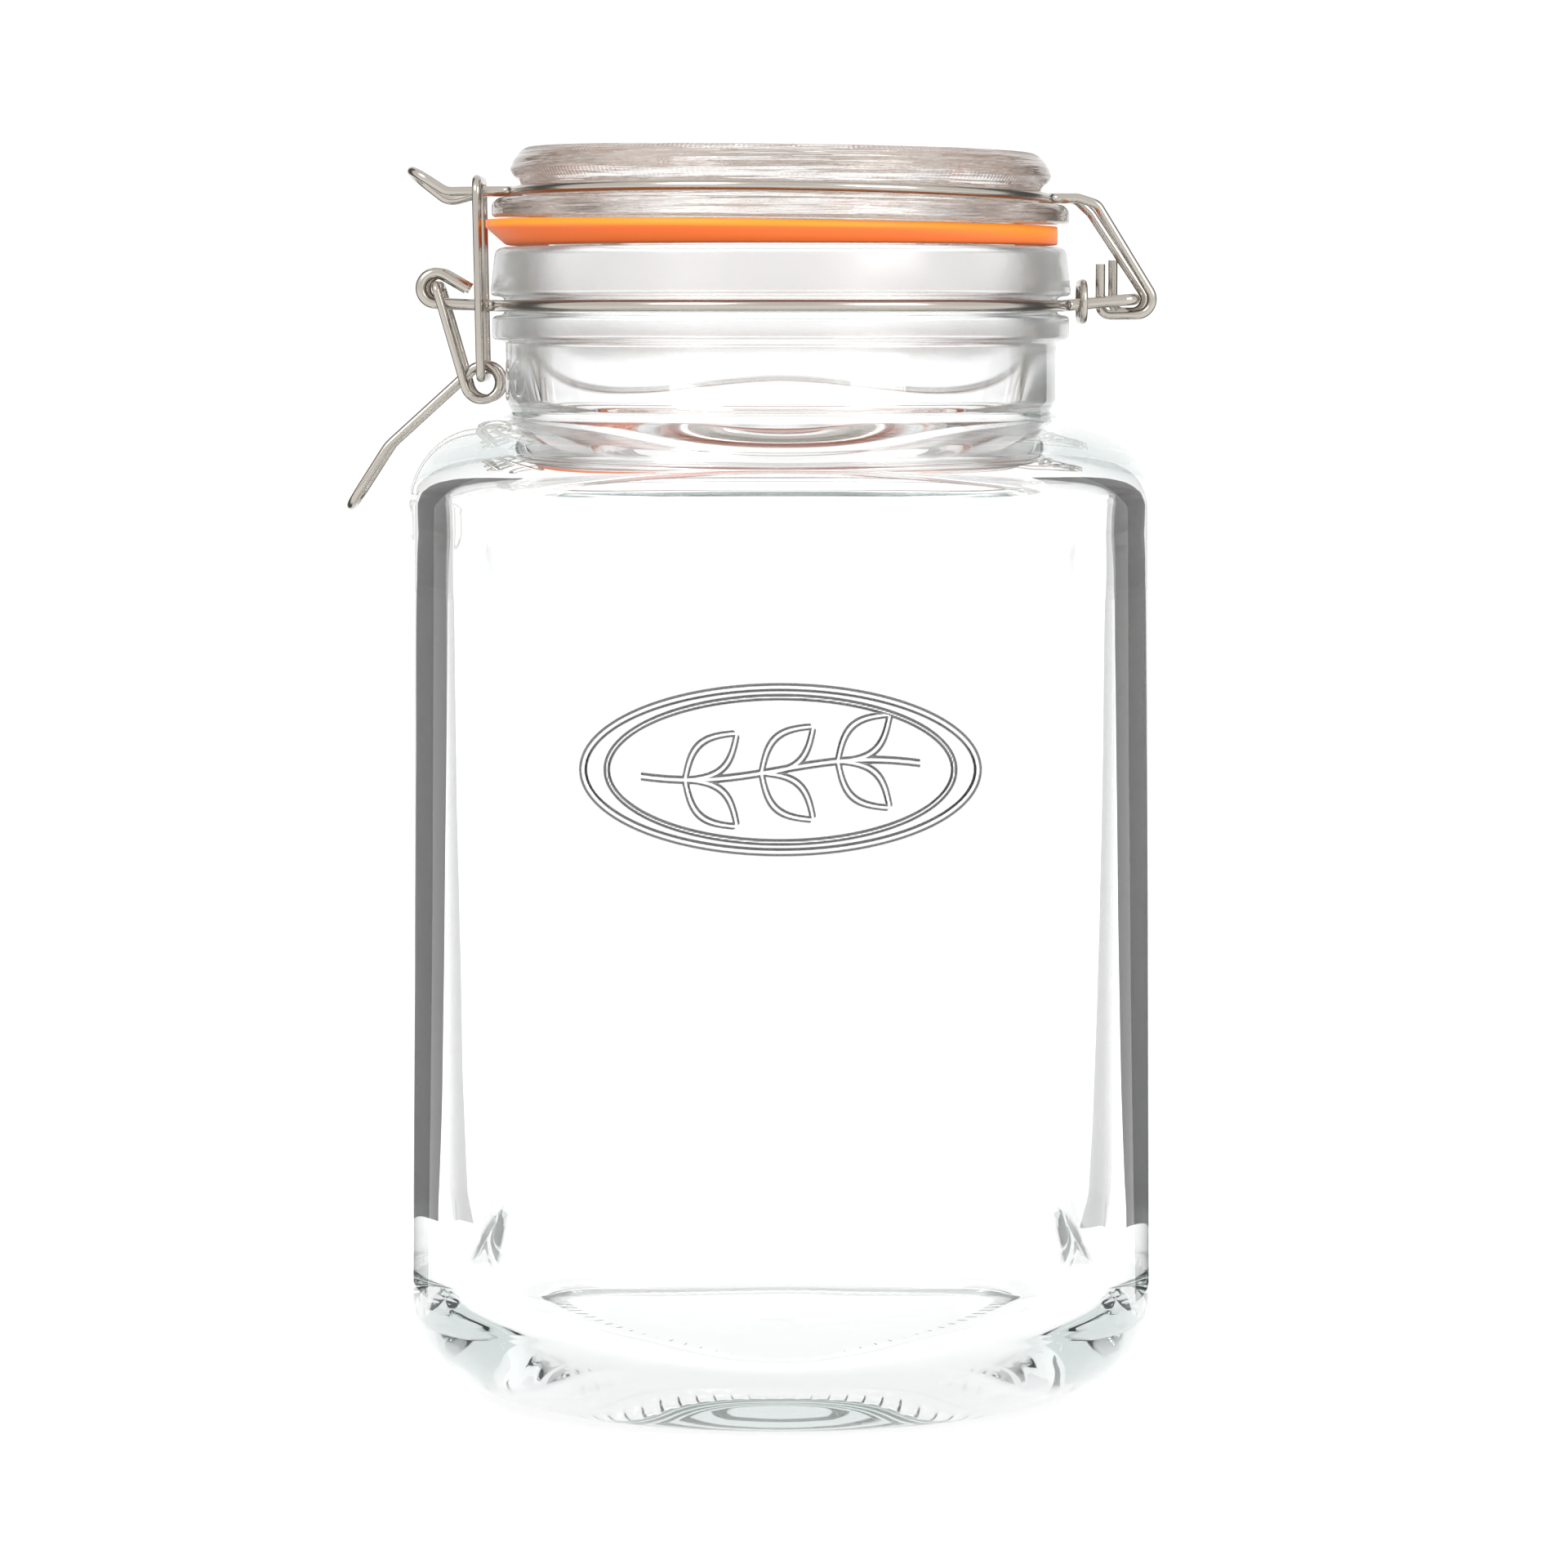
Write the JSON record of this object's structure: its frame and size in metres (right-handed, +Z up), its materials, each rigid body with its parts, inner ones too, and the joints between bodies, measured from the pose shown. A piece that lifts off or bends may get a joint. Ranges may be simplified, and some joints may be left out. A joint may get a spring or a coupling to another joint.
{
  "type": "bail clamp jar",
  "caption": "Square glass preserving jar with a glass lid, rubber seal and a wire bail that a sprung lever and link clamp down.",
  "frame": {"origin": "centre of the whole object's footprint, on the surface it stands on; the jar's own axis is at x = 5.0 mm", "axes": "+Z up along the jar's axis, +X to the hinge side, -X to the clip side, -Y to the front"},
  "size_m": [0.1349, 0.122, 0.207],
  "materials": {
    "body_glass": "clear pressed glass, fire polished",
    "lid_glass": "clear pressed glass with faint press lines",
    "seal_rubber": "matt orange natural rubber",
    "band_steel": "bright drawn wire",
    "collar_steel": "bright drawn wire",
    "bail_steel": "bright drawn wire",
    "lever_steel": "bright drawn wire",
    "link_steel": "bright drawn wire"
  },
  "bodies": {
    "jar": {"jar_body": "body_glass", "neck_band": "band_steel", "collar_ring": "collar_steel"},
    "lid": {"glass_lid": "lid_glass", "rubber_seal": "seal_rubber", "bail_wire": "bail_steel"},
    "lever": {"clamp_lever": "lever_steel"},
    "link": {"link_loop": "link_steel"}
  },
  "joints": [
    {"name": "lid_hinge", "type": "hinge", "parent": "jar", "child": "lid", "pos_m": [0.06378, 0, 0.1817], "axis": [0, 1, 0], "range_deg": [0, 190]},
    {"name": "lever_hinge", "type": "hinge", "parent": "jar", "child": "lever", "pos_m": [-0.05212, 0, 0.18395], "axis": [0, 1, 0], "range_deg": [0, 150]},
    {"name": "link_hinge", "type": "hinge", "parent": "lever", "child": "link", "pos_m": [-0.04462, 0, 0.1687], "axis": [0, 1, 0], "range_deg": [-330, 0]}
  ],
  "couplings": [
    {"joint": "link_hinge", "follows": "lever_hinge", "ratio": -2.2}
  ]
}
